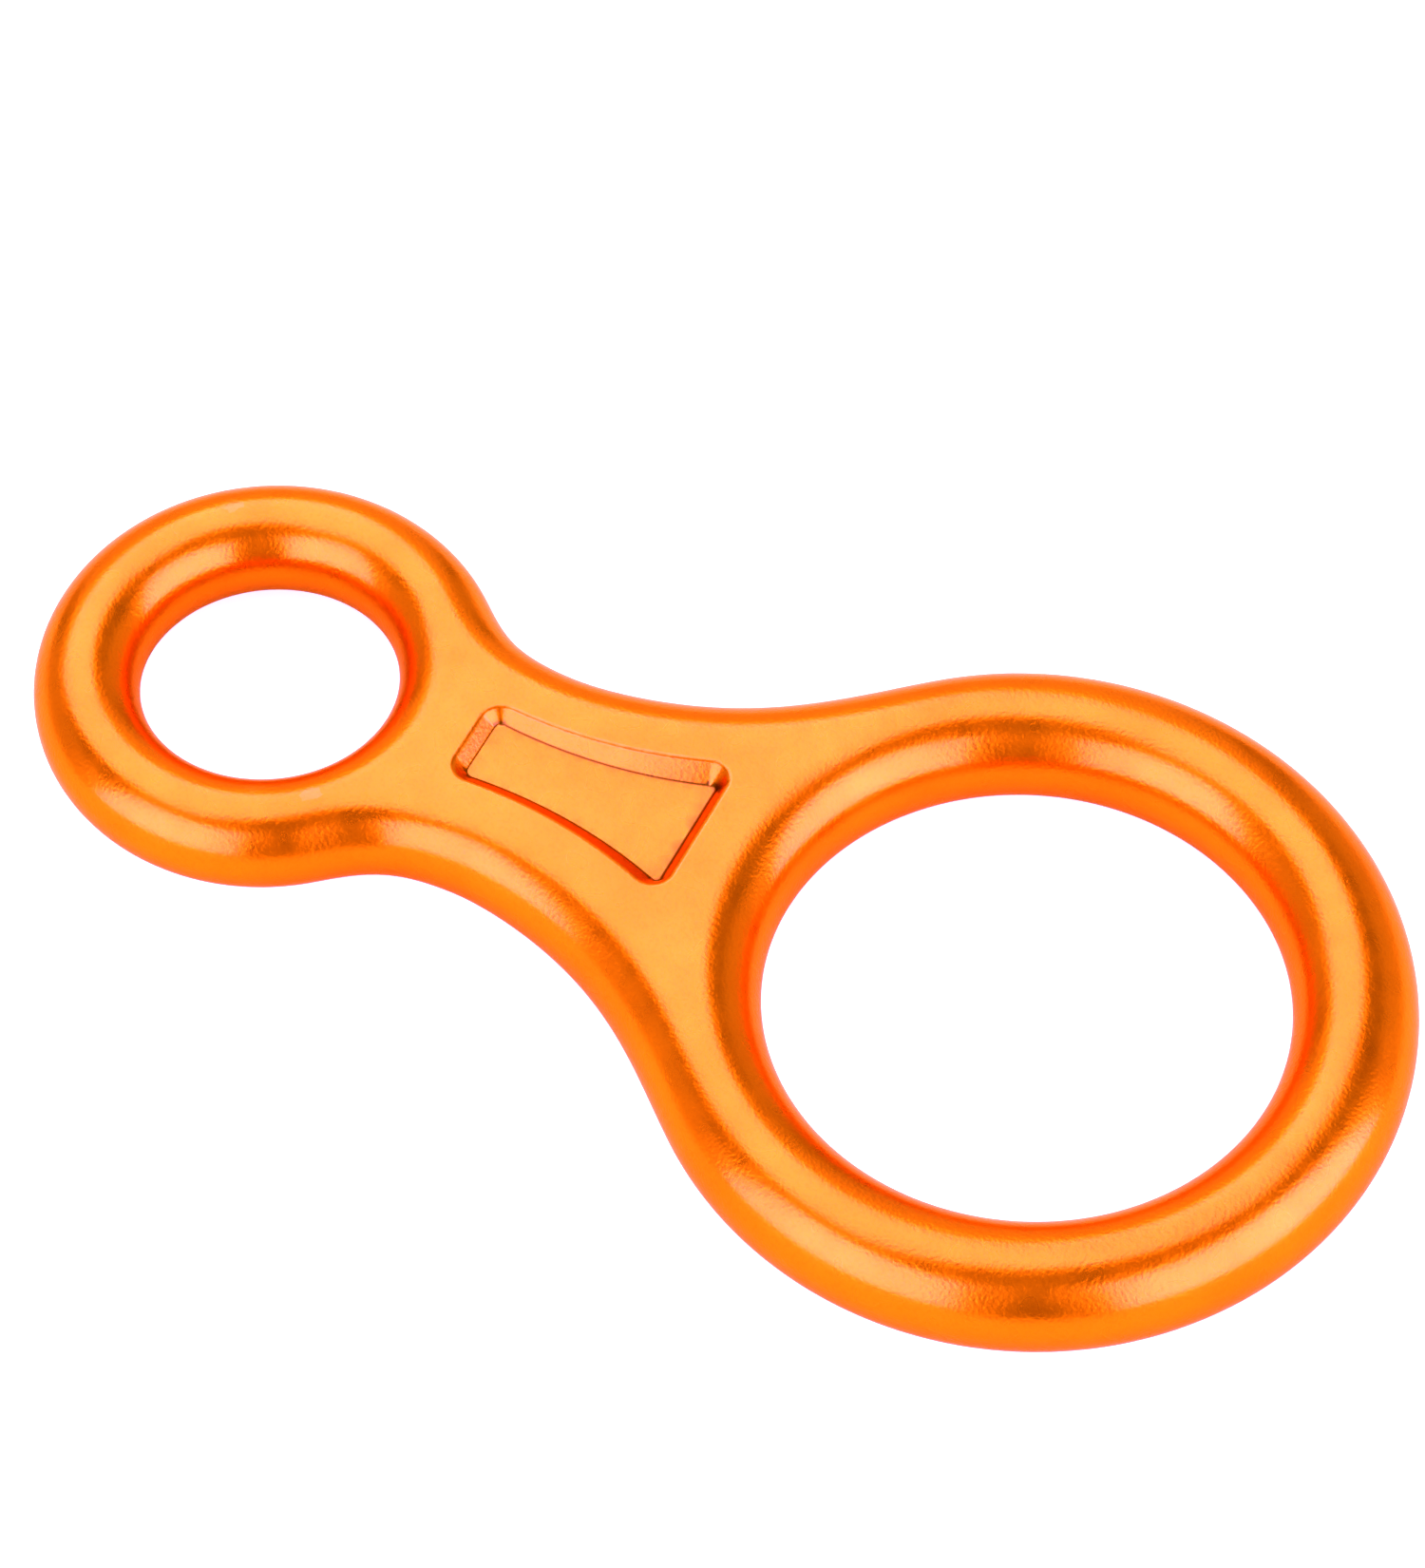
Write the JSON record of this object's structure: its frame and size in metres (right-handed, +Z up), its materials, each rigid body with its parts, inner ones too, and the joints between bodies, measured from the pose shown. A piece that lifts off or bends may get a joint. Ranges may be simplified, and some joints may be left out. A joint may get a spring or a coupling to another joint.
{
  "type": "rope descender",
  "caption": "Flat figure-eight rope descender: a large rope eye and a small carabiner eye joined by a waisted web with a shallow pocket on each face.",
  "frame": {"origin": "middle of the lowest plane of the descender lying flat: half way along its length and width, at the level that the large ring rests on", "axes": "+X along the length, from the small carabiner eye to the large rope eye; +Y across the width; +Z up through both eyes"},
  "size_m": [0.12, 0.0622, 0.0101],
  "materials": {
    "orange_anodised_alloy": "satin orange anodising over fine blasted alloy"
  },
  "bodies": {
    "root": {"descender_body": "orange_anodised_alloy"}
  },
  "joints": []
}
